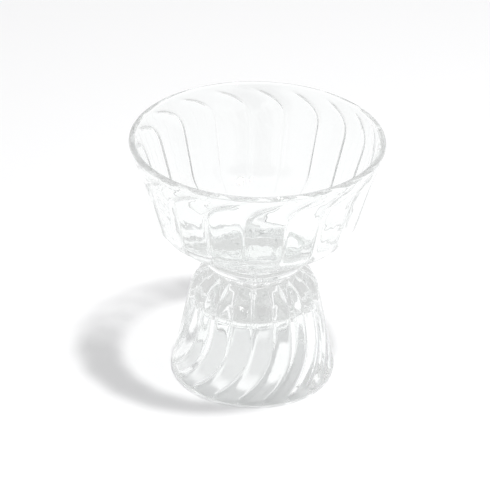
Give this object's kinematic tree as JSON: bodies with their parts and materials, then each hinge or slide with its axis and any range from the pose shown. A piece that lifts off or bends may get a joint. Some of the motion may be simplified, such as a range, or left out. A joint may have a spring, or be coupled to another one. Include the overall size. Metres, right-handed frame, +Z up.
{
  "type": "footed glass bowl",
  "caption": "Hourglass-shaped clear glass bowl on a hollow bell foot, both with swirled flutes and smooth edge bands.",
  "frame": {"origin": "on the resting surface, at the centre of the foot's lower rim", "axes": "+Z up along the glass's axis of revolution; the flutes swirl counterclockwise going up, seen from above"},
  "size_m": [0.1, 0.1, 0.1045],
  "materials": {
    "clear_glass": "fire-polished clear glass with a faint green tint"
  },
  "bodies": {
    "root": {"bowl": "clear_glass", "joining_disc": "clear_glass", "hollow_foot": "clear_glass"}
  },
  "joints": []
}
